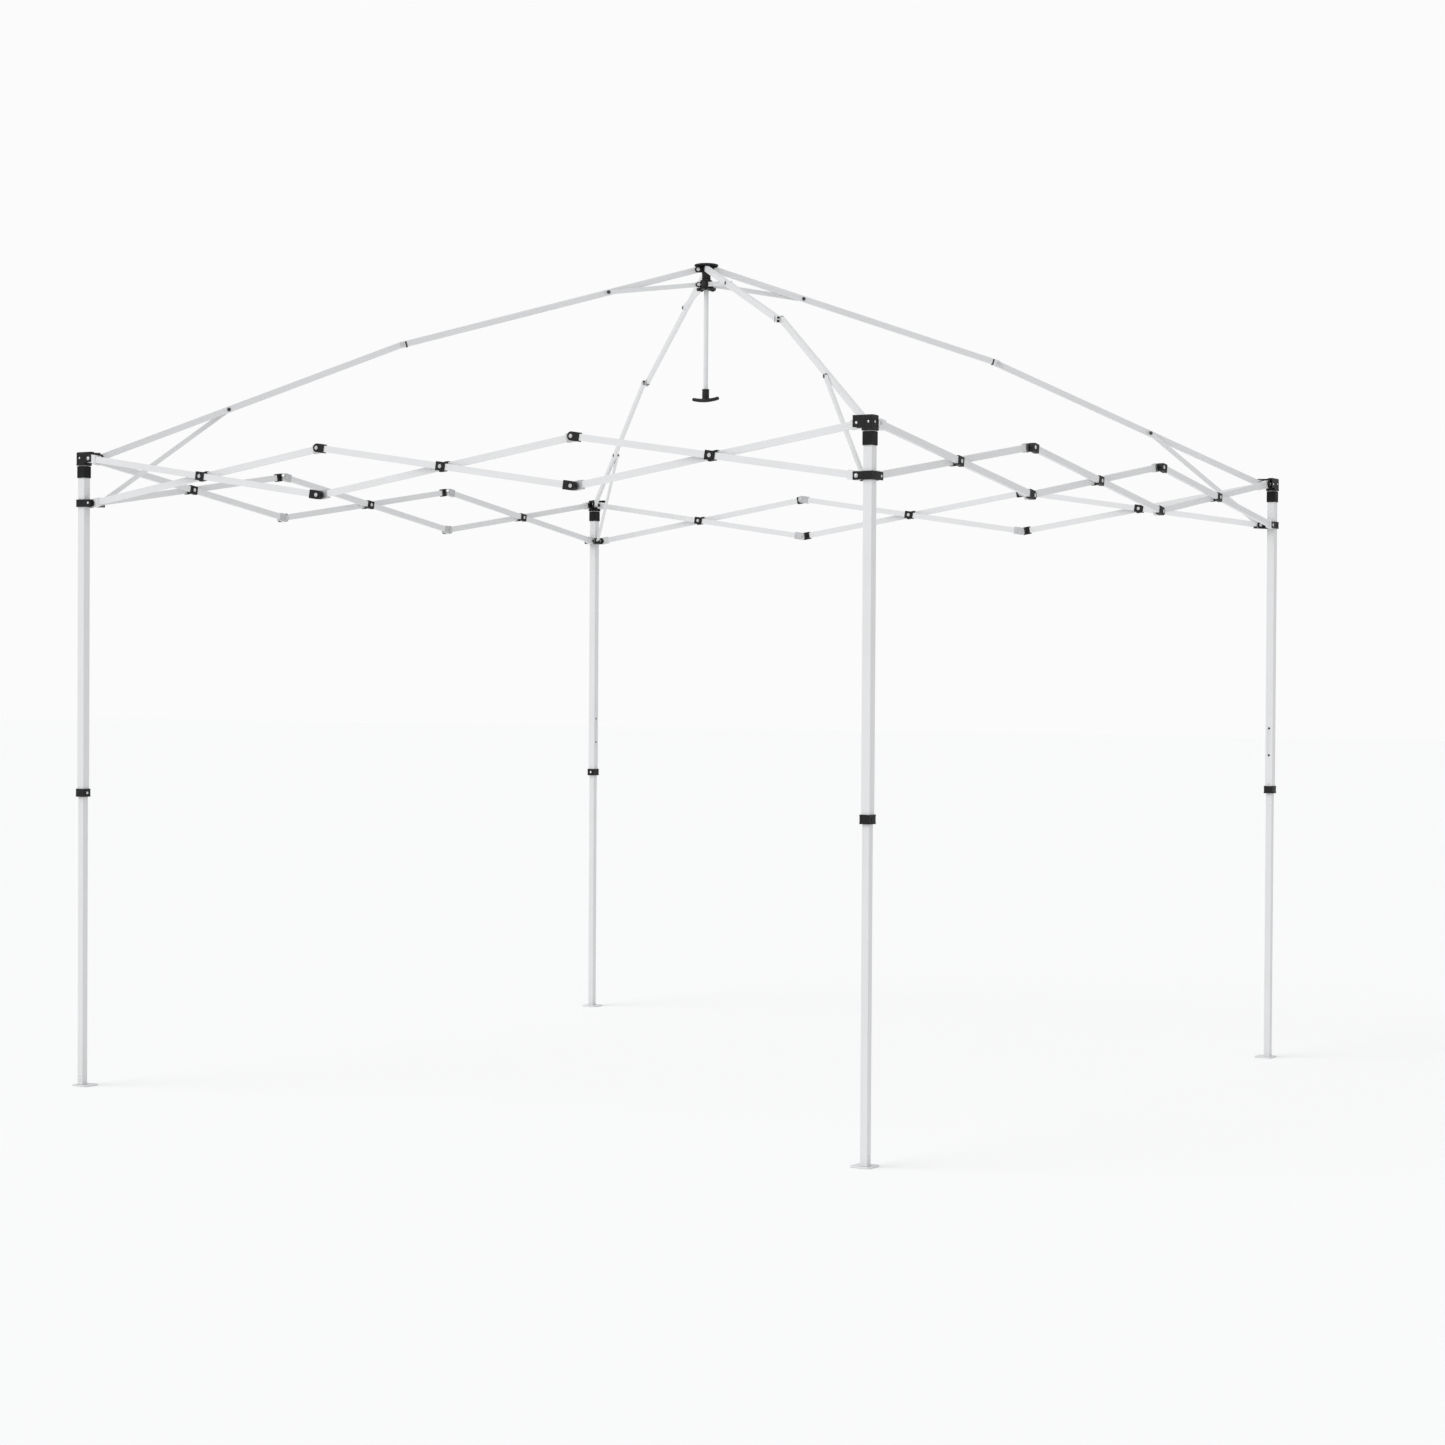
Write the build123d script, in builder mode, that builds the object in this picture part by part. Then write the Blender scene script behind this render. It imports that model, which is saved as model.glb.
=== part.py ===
from build123d import *
import os
from math import atan2, cos, dist, hypot, sin, sqrt
from typing import NamedTuple

os.makedirs("parts", exist_ok=True)

# Pop-up canopy frame: four telescoping legs, three scissor units on each side,
# four folding roof ribs on the diagonals, a peak hub and a pull-handle pole.
# Origin: centre of the footprint on the ground. +X right, +Y back, +Z up. Millimetres.
# Corner k and side k are quarter turns of the front left corner and the front side.
# Points on a diagonal are (r, z), with r measured inward from the leg axis.

CORNERS = ["front_left", "front_right", "back_right", "back_left"]
SIDES = ["front", "right", "back", "left"]

# ---- fits and rivets ----
CLEAR = 0.05             # fixed fit, per side
SLIDE_FIT = 0.6          # sliding fit, across the whole width
PIN_R, HEAD_R, HEAD_T = 3.0, 6.0, 2.0
HOLE_R = PIN_R + CLEAR
MID_GAP = 0.5            # pivot's middle plane to the bar on either side of it
STUB_GAP = 0.8           # middle plane to the blind end of a one-bar rivet
LUG_GAP = 0.5            # diagonal lug to the bar beside it
LUG_OVERCUT, BAR_OVERCUT = 1.0, 1.5   # how far drills run past the faces

# ---- legs ----
HALF = 1460.0            # leg axis to centre line, along X and along Y
CENTRE_R = HALF * sqrt(2)
LEG_OUT, LEG_OUT_WALL = 27.0, 1.5
LEG_IN, LEG_IN_WALL = 21.5, 1.2
LEG_IN_BORE = LEG_IN - 2 * LEG_IN_WALL
LEG_JOIN_Z, LEG_TOP_Z = 944.0, 2049.9    # ends of the upper tube
LOWER_LEG_TOP_Z = 1084.0
LEG_SOCKET = LEG_OUT + 2 * CLEAR
HEIGHT_HOLE_R, HEIGHT_HOLE_Z, HEIGHT_HOLE_PITCH = 4.0, 1075.0, 96.0
COLLAR_LOW_Z, COLLAR_TOP_Z, COLLAR_SIZE = 940.0, 966.0, 33.0
FOOT_SIZE, FOOT_T, FOOT_CORNER_R, FOOT_SHIFT = 62.0, 4.0, 6.0, 6.0
PLUG_TOP_Z = 26.0
STAKE_R, STAKE_AT = 4.0, 28.0

# ---- corner brackets and sliders ----
PIVOT_S = 34.0           # scissor end pivot to leg axis
PIVOT_HI_Z, PIVOT_LO_Z = 2036.0, 1892.0
SIDE_LUG_T, DIAGONAL_LUG_T = 7.0, 5.0
LUG_ROOT_R = 20.0        # leg axis to the root of a diagonal lug
BRACKET_LOW_Z, BRACKET_TOP_Z, BRACKET_SIZE = 2014.0, 2054.0, 34.0
SOCKET_LOW_Z, SOCKET_TOP_Z = 2000.0, 2050.0
SLEEVE_LOW_Z, SLEEVE_TOP_Z, SLEEVE_SIZE = 1974.0, 2012.0, 31.0
BRACKET_LUG_R, RIB_LUG_R = 13.5, 12.0
SLIDER_SIZE, SLIDER_LUG_R, STRUT_LUG_R = 35.0, 12.0, 11.0
SLIDER_BORE_OVERCUT = 10.0

# ---- scissor bars ----
BAR_H, BAR_T, BAR_WALL, BAR_END = 20.0, 11.0, 1.2, 7.0
CAP_H, CAP_T, CAP_LEN, MIDDLE_LEN = 27.0, 15.0, 28.0, 34.0
BAR_OFFSET = MID_GAP + CAP_T / 2
BAR_FACE = MID_GAP + CAP_T
UNIT = (2 * HALF - 2 * PIVOT_S) / 3
RISE = PIVOT_HI_Z - PIVOT_LO_Z
BAR_L = hypot(UNIT, RISE)

# Seen from outside, bars 1, 3 and 5 fall to the right in the outer plane and
# bars 2, 4 and 6 rise to the right in the inner plane.
# Columns: first scissor unit, slope, rivets at first end, middle and second end.
NONE, OWN, BOTH = 0, 1, 2        # no rivet, through its own bar, through both bars
BARS = [
    (0, -1, (NONE, BOTH, OWN)),
    (0, 1, (NONE, NONE, BOTH)),
    (1, -1, (NONE, OWN, OWN)),
    (1, 1, (OWN, OWN, NONE)),
    (2, -1, (BOTH, NONE, NONE)),
    (2, 1, (OWN, BOTH, NONE)),
]

# ---- roof ribs and struts ----
# Sections: height, thickness, wall, length past each end pivot.
RIB = (20.0, 11.0, BAR_WALL, 6.0)
STRUT = (15.0, 8.0, 1.0, 5.0)
RIB_FACE = MID_GAP + RIB[1]
STRUT_FACE = MID_GAP + STRUT[1]
HUB_PIVOT = 30.0                 # hub pivots to the canopy's centre
HUB_R = CENTRE_R - HUB_PIVOT
PEAK_Z, LOW_HUB_Z = 2723.0, 2671.0
RIB_FOOT = (50.0, 2040.0)
STRUT_FOOT = (50.0, PIVOT_LO_Z)
KNEE = (1028.5, 2436.4)
RIB_HEAD = (HUB_R, PEAK_Z)
STRUT_HEAD = (HUB_R, LOW_HUB_Z)
FOOT_STRUT_AT = 446.0            # outer strut joint, along the rib from RIB_FOOT
HEAD_STRUT_AT = 321.0            # inner strut joint, along the rib from RIB_HEAD

# ---- hubs, pole and handle ----
PEAK_BOSS_R, PEAK_BOSS_LOW_Z, PEAK_BORE_R = 14.5, 2689.0, 8.6
PEAK_PLATE_R, PEAK_PLATE_LOW_Z, PEAK_PLATE_TOP_Z = 40.5, 2735.0, 2740.0
PEAK_BORE_LOW_Z, PEAK_BORE_TOP_Z = 2680.0, 2734.0
PEAK_LUG_R, PEAK_LUG_T = 10.0, 5.5
WEB_H, WEB_LIFT = 14.0, 6.0
LOW_HUB_BASE_Z, LOW_HUB_TOP_Z, LOW_HUB_BARREL_R = 2655.0, 2687.0, 20.0
FLANGE_R, FLANGE_T = 33.0, 5.0
LOW_HUB_LUG_R, LOW_HUB_LUG_REACH = 9.0, 22.0
POLE_R, POLE_WALL, POLE_LOW_Z, POLE_TOP_Z = 7.9, 1.2, 2297.0, 2726.0
HANDLE_BOSS_R, HANDLE_LOW_Z, HANDLE_TOP_Z = 12.5, 2280.0, 2318.0
HANDLE_SOCKET_LOW_Z = 2296.0
BAND_Z, BAND_R, BAND_T = 2274.0, 230.0, 12.5     # lowest point, outer radius, thickness
BAND_SPAN, BAND_DEPTH, BAND_TRIM_H = 112.0, 16.0, 60.0


class Lug(NamedTuple):
    """Pivot lug and its rivet; near and far are offsets along the plane's normal."""
    plane: Plane
    near: float
    far: float
    radius: float
    reach: float
    pin_near: float
    pin_far: float
    head_near: bool = True


def turn(k, x, y):
    """Turn a point or direction by k quarter turns about Z."""
    return [(x, y), (-y, x), (-x, -y), (y, -x)][k % 4]


def corner_point(k, inset=0.0):
    return turn(k, -HALF + inset, -HALF + inset)


def upright_plane(k, origin, along, normal, z, slope):
    """Vertical plane turned to place k, with x along the given direction at a slope."""
    x, y = turn(k, *origin)
    dx, dy = turn(k, *along)
    return Plane(
        origin=(x, y, z),
        x_dir=(dx * cos(slope), dy * cos(slope), sin(slope)),
        z_dir=(*turn(k, *normal), 0),
    )


def side_plane(k, s, z, slope=0.0):
    """Plane of side k, s from its first leg: x along the side, normal outward."""
    return upright_plane(k, (-HALF + s, -HALF), (1, 0), (0, -1), z, slope)


def diagonal_plane(k, r, z, slope=0.0):
    """Plane through corner k and the centre: x inward, normal to the right of x."""
    h = sqrt(0.5)
    return upright_plane(k, (-HALF + r * h, -HALF + r * h), (h, h), (h, -h), z, slope)


def block(plane, near, far, width, height, at=(0, 0), mode=Mode.ADD):
    with BuildSketch(plane.offset(near)) as outline:
        with Locations(at):
            Rectangle(width, height)
    extrude(to_extrude=outline.sketch, amount=far - near, mode=mode)


def disc(plane, near, far, radius, at=(0, 0), mode=Mode.ADD):
    with BuildSketch(plane.offset(near)) as outline:
        with Locations(at):
            Circle(radius)
    extrude(to_extrude=outline.sketch, amount=far - near, mode=mode)


def nosed_plate(plane, near, far, radius, reach, x=0.0):
    """Plate with a round nose centred at x, running from there by reach."""
    with BuildSketch(plane.offset(near)) as outline:
        with Locations((x, 0)):
            Circle(radius)
        with Locations((x + reach / 2, 0)):
            Rectangle(abs(reach), 2 * radius)
    extrude(to_extrude=outline.sketch, amount=far - near)


def square(low, high, width, centre, mode=Mode.ADD):
    """Upright square prism between two heights."""
    block(Plane.XY, low, high, width, width, centre, mode)


def rivet(plane, near, far, x=0.0, head_near=True, head_far=True):
    """Round pin from near to far, with a head just outside each headed end."""
    at = (x, 0)
    disc(plane, near - CLEAR, far + CLEAR, PIN_R, at)
    if head_near:
        disc(plane, near - CLEAR - HEAD_T, near - CLEAR, HEAD_R, at)
    if head_far:
        disc(plane, far + CLEAR, far + CLEAR + HEAD_T, HEAD_R, at)


def stub_rivet(plane, side, face, x):
    """Rivet through one bar on the given side (1 or -1), with its head on the outer face."""
    if side > 0:
        rivet(plane, STUB_GAP, face, x, head_near=False)
    else:
        rivet(plane, -face, -STUB_GAP, x, head_far=False)


def hollow_bar(plane, offset, length, height, thickness, wall, end):
    """Open rectangular tube running past both end pivots."""
    half = thickness / 2
    full = length + 2 * end
    block(plane, offset - half, offset + half, full, height)
    block(plane, offset - half + wall, offset + half - wall,
          full + 2, height - 2 * wall, mode=Mode.SUBTRACT)


def drill_bar(plane, offset, thickness, places):
    half = thickness / 2 + BAR_OVERCUT
    for x in places:
        disc(plane, offset - half, offset + half, HOLE_R, (x, 0), Mode.SUBTRACT)


def add_lugs(lugs):
    for lug in lugs:
        nosed_plate(lug.plane, lug.near, lug.far, lug.radius, lug.reach)


def drill_lugs(lugs):
    for lug in lugs:
        disc(lug.plane, lug.near - LUG_OVERCUT, lug.far + LUG_OVERCUT, HOLE_R,
             mode=Mode.SUBTRACT)


def add_rivets(lugs):
    for lug in lugs:
        rivet(lug.plane, lug.pin_near, lug.pin_far, head_near=lug.head_near)


def outer_bar_lug(plane, radius, reach):
    """Lug behind a scissor bar in the outer plane; the pin ends inside the lug."""
    return Lug(plane, -SIDE_LUG_T, 0.0, radius, reach,
               -SIDE_LUG_T + 0.5, BAR_FACE, head_near=False)


def inner_bar_lug(plane, radius, reach):
    """Lug outside a scissor bar in the inner plane."""
    return Lug(plane, 0.0, SIDE_LUG_T, radius, reach, -BAR_FACE, SIDE_LUG_T)


def save(builder, name):
    builder.part.label = name
    export_step(builder.part, "parts/" + name + ".step")


def make_upper_leg(k):
    """Square tube in a bottom collar, with two height holes in its inward face."""
    centre = corner_point(k)
    seat_z = LEG_JOIN_Z - CLEAR
    face = side_plane(k, 0, HEIGHT_HOLE_Z)
    with BuildPart() as leg:
        square(COLLAR_LOW_Z, COLLAR_TOP_Z, COLLAR_SIZE, centre)
        square(seat_z, COLLAR_TOP_Z, LEG_SOCKET, centre, Mode.SUBTRACT)
        square(COLLAR_LOW_Z, seat_z, LEG_IN + SLIDE_FIT, centre, Mode.SUBTRACT)
        square(LEG_JOIN_Z, LEG_TOP_Z, LEG_OUT, centre)
        square(LEG_JOIN_Z, LEG_TOP_Z, LEG_OUT - 2 * LEG_OUT_WALL, centre, Mode.SUBTRACT)
        for dz in (0, HEIGHT_HOLE_PITCH):
            disc(face, -20, -8, HEIGHT_HOLE_R, (0, dz), Mode.SUBTRACT)
    save(leg, "upper_leg_" + CORNERS[k])


def make_lower_leg(k):
    """Smaller square tube over a plugged foot plate with a stake hole."""
    centre = corner_point(k)
    with BuildPart() as leg:
        square(FOOT_T + CLEAR, LOWER_LEG_TOP_Z, LEG_IN, centre)
        square(FOOT_T + CLEAR, LOWER_LEG_TOP_Z, LEG_IN_BORE, centre, Mode.SUBTRACT)
        with BuildSketch(Plane.XY) as foot:
            with Locations(corner_point(k, FOOT_SHIFT)):
                RectangleRounded(FOOT_SIZE, FOOT_SIZE, FOOT_CORNER_R)
            with Locations(corner_point(k, STAKE_AT)):
                Circle(STAKE_R, mode=Mode.SUBTRACT)
        extrude(to_extrude=foot.sketch, amount=FOOT_T)
        square(FOOT_T, PLUG_TOP_Z, LEG_IN_BORE - 2 * CLEAR, centre)
    save(leg, "lower_leg_" + CORNERS[k])


def make_corner_bracket(k):
    """Cap on the leg top with three lugs, a sleeve below it and three rivets."""
    centre = corner_point(k)
    first = side_plane(k, PIVOT_S, PIVOT_HI_Z)
    last = side_plane(k - 1, 2 * HALF - PIVOT_S, PIVOT_HI_Z)
    rib_lug = RIB_FACE + LUG_GAP
    rib_lug_far = rib_lug + DIAGONAL_LUG_T
    lugs = [
        outer_bar_lug(first, BRACKET_LUG_R, -PIVOT_S),
        inner_bar_lug(last, BRACKET_LUG_R, PIVOT_S),
        Lug(diagonal_plane(k, *RIB_FOOT), rib_lug, rib_lug_far, RIB_LUG_R,
            LUG_ROOT_R - RIB_FOOT[0], MID_GAP, rib_lug_far),
    ]
    with BuildPart() as bracket:
        square(BRACKET_LOW_Z, BRACKET_TOP_Z, BRACKET_SIZE, centre)
        add_lugs(lugs)
        square(SOCKET_LOW_Z, SOCKET_TOP_Z, LEG_SOCKET, centre, Mode.SUBTRACT)
        drill_lugs(lugs)
        square(SLEEVE_LOW_Z, SLEEVE_TOP_Z, SLEEVE_SIZE, centre)
        square(SLEEVE_LOW_Z, SLEEVE_TOP_Z, LEG_SOCKET, centre, Mode.SUBTRACT)
        add_rivets(lugs)
    save(bracket, "corner_bracket_" + CORNERS[k])


def make_slider(k):
    """Square ring that runs on the upper leg, with three lugs and rivets."""
    centre = corner_point(k)
    first = side_plane(k, PIVOT_S, PIVOT_LO_Z)
    last = side_plane(k - 1, 2 * HALF - PIVOT_S, PIVOT_LO_Z)
    low, high = PIVOT_LO_Z - SLIDER_LUG_R, PIVOT_LO_Z + SLIDER_LUG_R
    strut_lug = -STRUT_FACE - LUG_GAP
    strut_lug_near = strut_lug - DIAGONAL_LUG_T
    lugs = [
        inner_bar_lug(first, SLIDER_LUG_R, -PIVOT_S),
        outer_bar_lug(last, SLIDER_LUG_R, PIVOT_S),
        Lug(diagonal_plane(k, *STRUT_FOOT), strut_lug_near, strut_lug, STRUT_LUG_R,
            LUG_ROOT_R - STRUT_FOOT[0], strut_lug_near, -MID_GAP),
    ]
    with BuildPart() as slider:
        square(low, high, SLIDER_SIZE, centre)
        add_lugs(lugs)
        square(low - SLIDER_BORE_OVERCUT, high + SLIDER_BORE_OVERCUT,
               LEG_OUT + SLIDE_FIT, centre, Mode.SUBTRACT)
        drill_lugs(lugs)
        add_rivets(lugs)
    save(slider, "slider_" + CORNERS[k])


def make_scissor_bar(k, number, unit, slope, rivets):
    """Tube with end caps and a middle sleeve around it, and its rivets."""
    side = -slope
    offset = side * BAR_OFFSET
    near, far = offset - CAP_T / 2, offset + CAP_T / 2
    plane = side_plane(k, PIVOT_S + UNIT * (unit + 0.5), (PIVOT_HI_Z + PIVOT_LO_Z) / 2,
                       slope * atan2(RISE, UNIT))
    places = (-BAR_L / 2, 0, BAR_L / 2)
    with BuildPart() as bar:
        for end in (-1, 1):
            nosed_plate(plane, near, far, CAP_H / 2, -end * CAP_LEN, end * BAR_L / 2)
        block(plane, near, far, MIDDLE_LEN, CAP_H)
        block(plane, offset - BAR_T / 2 - CLEAR, offset + BAR_T / 2 + CLEAR,
              BAR_L + 2 * BAR_END + 2 * CLEAR, BAR_H + 2 * CLEAR, mode=Mode.SUBTRACT)
        hollow_bar(plane, offset, BAR_L, BAR_H, BAR_T, BAR_WALL, BAR_END)
        drill_bar(plane, offset, CAP_T, places)
        for x, kind in zip(places, rivets):
            if kind == BOTH:
                rivet(plane, -BAR_FACE, BAR_FACE, x)
            elif kind == OWN:
                stub_rivet(plane, side, BAR_FACE, x)
    save(bar, SIDES[k] + "_scissor_bar_" + str(number))


def make_diagonal_bar(kind, k, start, end, section, side, holes, through=(), stubs=()):
    """Rib or strut from start to end; holes and rivets are distances from start."""
    (r1, z1), (r2, z2) = start, end
    length = dist(start, end)
    thickness = section[1]
    offset = side * (MID_GAP + thickness / 2)
    face = MID_GAP + thickness
    plane = diagonal_plane(k, (r1 + r2) / 2, (z1 + z2) / 2, atan2(z2 - z1, r2 - r1))
    with BuildPart() as bar:
        hollow_bar(plane, offset, length, *section)
        drill_bar(plane, offset, thickness, [hole - length / 2 for hole in holes])
        for place in through:
            rivet(plane, -face, face, place - length / 2)
        for place in stubs:
            stub_rivet(plane, side, face, place - length / 2)
    save(bar, kind + "_" + CORNERS[k])


def point_between(start, end, distance):
    """Point at a distance from start on the line to end."""
    share = distance / dist(start, end)
    return tuple(a + share * (b - a) for a, b in zip(start, end))


def make_ribs_and_struts(k):
    """Outer rib and inner strut lie right of the diagonal seen inward, the others left."""
    outer_l, inner_l = dist(RIB_FOOT, KNEE), dist(KNEE, RIB_HEAD)
    outer_joint = point_between(RIB_FOOT, KNEE, FOOT_STRUT_AT)
    inner_joint = point_between(RIB_HEAD, KNEE, HEAD_STRUT_AT)
    inner_at = inner_l - HEAD_STRUT_AT
    make_diagonal_bar("outer_rib", k, RIB_FOOT, KNEE, RIB, 1, (0, FOOT_STRUT_AT, outer_l),
                      through=(outer_l,), stubs=(FOOT_STRUT_AT,))
    make_diagonal_bar("inner_rib", k, KNEE, RIB_HEAD, RIB, -1, (0, inner_at, inner_l),
                      stubs=(inner_at,))
    strut_l = dist(STRUT_FOOT, outer_joint)
    make_diagonal_bar("outer_strut", k, STRUT_FOOT, outer_joint, STRUT, -1, (0, strut_l),
                      stubs=(strut_l,))
    strut_l = dist(inner_joint, STRUT_HEAD)
    make_diagonal_bar("inner_strut", k, inner_joint, STRUT_HEAD, STRUT, 1, (0, strut_l),
                      stubs=(0,))


def make_peak_hub():
    """Bored boss under a round plate, with four lugs webbed to the plate."""
    lugs = [Lug(diagonal_plane(k, *RIB_HEAD), 0.0, PEAK_LUG_T, PEAK_LUG_R, HUB_PIVOT,
                -RIB_FACE, PEAK_LUG_T) for k in range(4)]
    with BuildPart() as hub:
        disc(Plane.XY, PEAK_BOSS_LOW_Z, PEAK_PLATE_LOW_Z, PEAK_BOSS_R)
        disc(Plane.XY, PEAK_PLATE_LOW_Z, PEAK_PLATE_TOP_Z, PEAK_PLATE_R)
        for lug in lugs:
            add_lugs([lug])
            block(lug.plane, lug.near, lug.far, HUB_PIVOT, WEB_H, (HUB_PIVOT / 2, WEB_LIFT))
        disc(Plane.XY, PEAK_BORE_LOW_Z, PEAK_BORE_TOP_Z, PEAK_BORE_R, mode=Mode.SUBTRACT)
        drill_lugs(lugs)
        add_rivets(lugs)
    save(hub, "peak_hub")


def make_lower_hub():
    """Flanged barrel around the pole with four strut lugs."""
    near = STRUT_FACE + LUG_GAP
    far = near + DIAGONAL_LUG_T
    lugs = [Lug(diagonal_plane(k, *STRUT_HEAD), near, far, LOW_HUB_LUG_R,
                LOW_HUB_LUG_REACH, MID_GAP, far, head_near=False) for k in range(4)]
    with BuildPart() as hub:
        disc(Plane.XY, LOW_HUB_BASE_Z, LOW_HUB_TOP_Z, LOW_HUB_BARREL_R)
        disc(Plane.XY, LOW_HUB_BASE_Z, LOW_HUB_BASE_Z + FLANGE_T, FLANGE_R)
        add_lugs(lugs)
        disc(Plane.XY, LOW_HUB_BASE_Z - 5, LOW_HUB_TOP_Z + 3, POLE_R + CLEAR,
             mode=Mode.SUBTRACT)
        drill_lugs(lugs)
        add_rivets(lugs)
    save(hub, "lower_hub")


def make_centre_pole():
    with BuildPart() as pole:
        disc(Plane.XY, POLE_LOW_Z, POLE_TOP_Z, POLE_R)
        disc(Plane.XY, POLE_LOW_Z, POLE_TOP_Z, POLE_R - POLE_WALL, mode=Mode.SUBTRACT)
    save(pole, "centre_pole")


def make_pull_handle():
    """Pole socket on a cross bar, a band along X curved up at both ends."""
    with BuildPart() as handle:
        disc(Plane.XY, HANDLE_LOW_Z, HANDLE_TOP_Z, HANDLE_BOSS_R)
        with BuildSketch(Plane.XZ.offset(-BAND_DEPTH / 2)) as band:
            with Locations((0, BAND_Z + BAND_R)):
                Circle(BAND_R)
                Circle(BAND_R - BAND_T, mode=Mode.SUBTRACT)
            with Locations((0, BAND_Z)):
                Rectangle(BAND_SPAN, BAND_TRIM_H, mode=Mode.INTERSECT)
        extrude(to_extrude=band.sketch, amount=BAND_DEPTH)
        disc(Plane.XY, HANDLE_SOCKET_LOW_Z, HANDLE_TOP_Z + 2, POLE_R + CLEAR,
             mode=Mode.SUBTRACT)
    save(handle, "pull_handle")


for k in range(4):
    make_upper_leg(k)
    make_lower_leg(k)
    make_corner_bracket(k)
    make_slider(k)
    for number, (unit, slope, rivets) in enumerate(BARS, start=1):
        make_scissor_bar(k, number, unit, slope, rivets)
    make_ribs_and_struts(k)
make_peak_hub()
make_lower_hub()
make_centre_pole()
make_pull_handle()
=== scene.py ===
"""Folding canopy frame: four telescopic legs, scissor bars, ribs and struts rising to a peak hub.

Metres, +Z up. The centre pole is on the Z axis; front is -Y and left is -X. The CAD pieces get
their finishes, then small detail pieces are added, with a floor, lights and a camera.
"""
import bpy
import bmesh
from collections import namedtuple
from math import cos, pi, sin, sqrt
from mathutils import Matrix, Vector

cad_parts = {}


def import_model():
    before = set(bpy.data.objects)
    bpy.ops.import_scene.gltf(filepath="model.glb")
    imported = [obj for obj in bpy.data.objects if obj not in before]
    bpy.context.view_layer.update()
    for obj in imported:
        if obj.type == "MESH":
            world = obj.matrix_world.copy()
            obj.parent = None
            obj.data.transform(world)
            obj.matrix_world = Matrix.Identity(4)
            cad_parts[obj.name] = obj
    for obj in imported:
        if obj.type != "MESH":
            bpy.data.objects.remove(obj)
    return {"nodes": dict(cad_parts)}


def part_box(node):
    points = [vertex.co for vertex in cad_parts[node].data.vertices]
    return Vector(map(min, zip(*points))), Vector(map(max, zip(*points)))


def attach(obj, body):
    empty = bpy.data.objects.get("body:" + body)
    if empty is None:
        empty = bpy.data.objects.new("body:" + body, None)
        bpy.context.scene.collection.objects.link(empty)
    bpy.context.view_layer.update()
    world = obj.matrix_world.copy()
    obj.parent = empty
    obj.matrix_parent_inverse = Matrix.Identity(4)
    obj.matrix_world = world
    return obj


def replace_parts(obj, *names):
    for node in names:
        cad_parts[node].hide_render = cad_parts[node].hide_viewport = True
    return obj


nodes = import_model()["nodes"]
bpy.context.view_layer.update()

# from the pole's axis to a leg's axis, along X and along Y
HALF = -sum(end.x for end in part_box("upper_leg_front_left")) / 2
CORNERS = ["front_left", "front_right", "back_right", "back_left"]   # each a quarter turn on

# heights of the fittings on each leg
SLEEVE_Z = 1.993
SLIDER_Z = 1.892
COLLAR_Z = 0.953
HOLES_Z = (1.075, 1.171)

BAR_HEIGHTS = {"outer_rib": 0.020, "inner_rib": 0.020, "outer_strut": 0.015, "inner_strut": 0.015}
END_ZONE = 0.012        # length of bar that counts as its end

ORIGIN, X, Y, UP = Vector((0, 0, 0)), Vector((1, 0, 0)), Vector((0, 1, 0)), Vector((0, 0, 1))


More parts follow.
